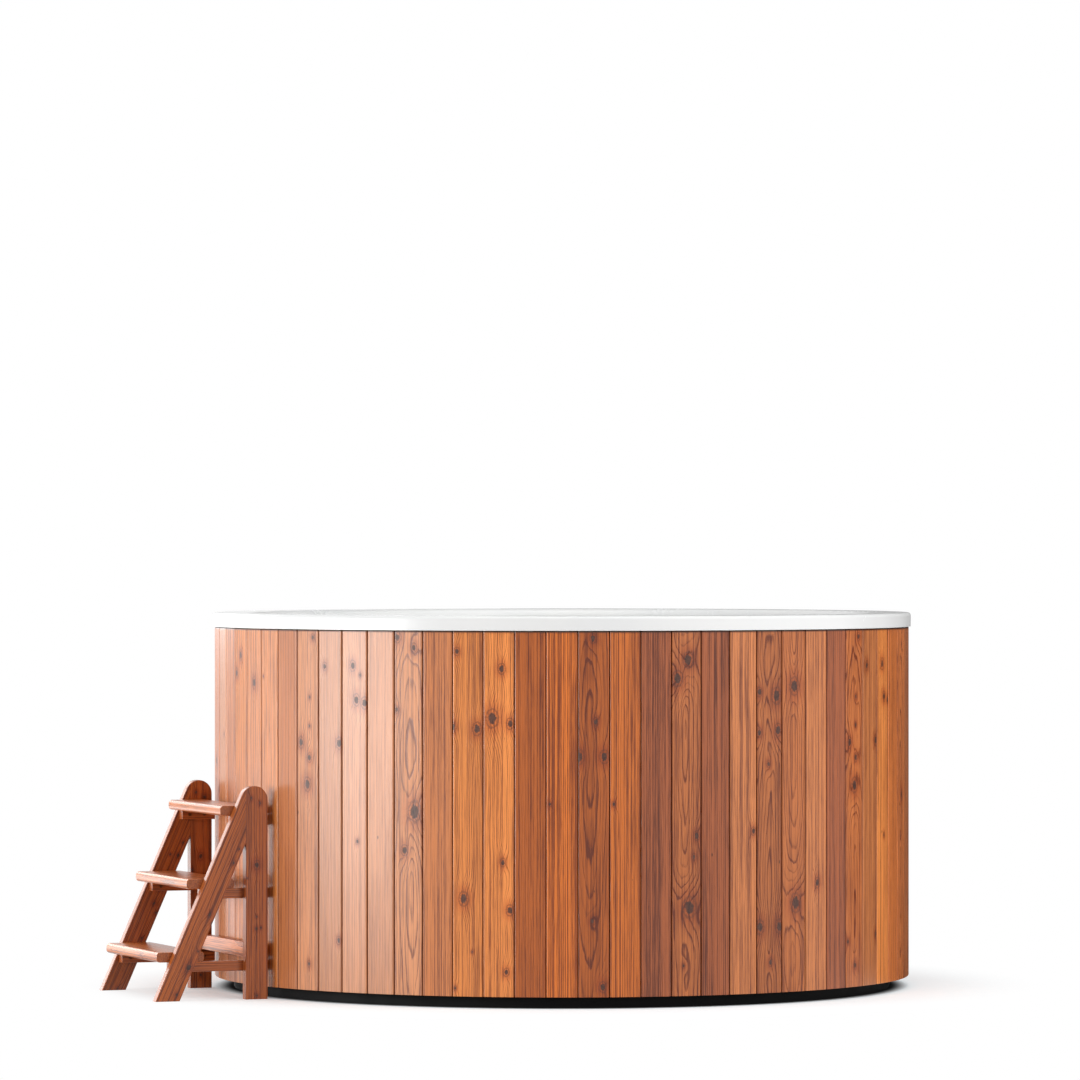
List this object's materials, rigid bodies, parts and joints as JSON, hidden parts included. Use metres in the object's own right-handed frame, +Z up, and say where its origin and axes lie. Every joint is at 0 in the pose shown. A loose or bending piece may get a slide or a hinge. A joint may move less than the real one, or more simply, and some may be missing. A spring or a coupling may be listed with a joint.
{
  "type": "cold plunge tub",
  "caption": "Round cold plunge tub: white moulded shell with a bench and rolled rim, upright cedar cladding, hose spigots and a drain valve at the back, and a loose wooden step ladder.",
  "frame": {"origin": "on the tub's upright axis, at the underside of the base tray, where it meets the floor", "axes": "+Z up along the tub's axis; the tub's front faces -Y with its pipes at the back (+Y); the step ladder stands on the -X side"},
  "size_m": [2.324, 2.1779, 1.074],
  "materials": {
    "cladding_cedar": "oiled, satin",
    "ladder_cedar": "oiled, satin",
    "frame_timber": "planed softwood",
    "plywood": "sanded plywood",
    "dowel_beech": "turned",
    "shell_white": "glossy gelcoat",
    "base_black": "matt, fine grain",
    "foam": "rigid foam",
    "pipe_grey": "moulded",
    "fitting_white": "moulded, semi-gloss",
    "plate_black": "moulded, satin",
    "valve_red": "moulded, satin",
    "seat_white": "turned",
    "drain_steel": "brushed",
    "steel_screws": "plain",
    "seal_rubber": "matt"
  },
  "bodies": {
    "tub": {"base_bearers": "frame_timber", "base_deck": "plywood", "base_tray": "base_black", "batten_ring_lower": "frame_timber", "batten_ring_middle": "frame_timber", "batten_ring_upper": "frame_timber", "bench_ribs": "plywood", "cladding_panel_1": "cladding_cedar", "cladding_panel_2": "cladding_cedar", "cladding_panel_3": "cladding_cedar", "cladding_panel_4": "cladding_cedar", "cladding_panel_5": "cladding_cedar", "cladding_panel_6": "cladding_cedar", "cladding_panel_7": "cladding_cedar", "cladding_panel_8": "cladding_cedar", "cladding_panel_9": "cladding_cedar", "drain_elbow": "pipe_grey", "drain_flange": "drain_steel", "drain_locknut": "pipe_grey", "drain_pipe": "pipe_grey", "drain_valve_body": "pipe_grey", "drain_valve_end": "pipe_grey", "drain_valve_seats": "seat_white", "fitting_gaskets": "seal_rubber", "floor_insulation": "foam", "inner_shell": "shell_white", "port_plates": "plate_black", "return_flange": "fitting_white", "return_locknut": "pipe_grey", "return_pipe": "pipe_grey", "return_ring": "fitting_white", "rim_ring": "plywood", "stave_screws": "steel_screws", "suction_cover": "fitting_white", "suction_flange": "fitting_white", "suction_locknut": "pipe_grey", "suction_pipe": "pipe_grey", "wall_insulation": "foam", "wall_studs": "frame_timber"},
    "ladder": {"ladder_brace": "ladder_cedar", "ladder_cleat_bottom_left": "ladder_cedar", "ladder_cleat_bottom_right": "ladder_cedar", "ladder_cleat_middle_left": "ladder_cedar", "ladder_cleat_middle_right": "ladder_cedar", "ladder_cleat_top_left": "ladder_cedar", "ladder_cleat_top_right": "ladder_cedar", "ladder_dowels": "dowel_beech", "ladder_post_left": "ladder_cedar", "ladder_post_right": "ladder_cedar", "ladder_screws": "steel_screws", "ladder_stringer_left": "ladder_cedar", "ladder_stringer_right": "ladder_cedar", "ladder_tread_bottom": "ladder_cedar", "ladder_tread_middle": "ladder_cedar", "ladder_tread_top": "ladder_cedar"},
    "strainer": {"drain_strainer": "drain_steel"},
    "valve_lever": {"drain_valve_ball": "pipe_grey", "drain_valve_handle": "valve_red"},
    "jet": {"return_eyeball": "fitting_white"}
  },
  "joints": [
    {"name": "ladder_pull", "type": "slide", "parent": "tub", "child": "ladder", "axis": [-0.9314, -0.3641, 0], "range_m": [0, 0.5]},
    {"name": "strainer_lift", "type": "slide", "parent": "tub", "child": "strainer", "axis": [0, 0, 1], "range_m": [0, 0.1]},
    {"name": "valve_turn", "type": "hinge", "parent": "tub", "child": "valve_lever", "pos_m": [0.00276, 1.07601, 0.07], "axis": [0, 0, 1], "range_deg": [0, 90]},
    {"name": "jet_swivel", "type": "hinge", "parent": "tub", "child": "jet", "pos_m": [-0.15161, 0.87289, 0.79], "axis": [0, 0, 1], "range_deg": [-20, 20]}
  ]
}
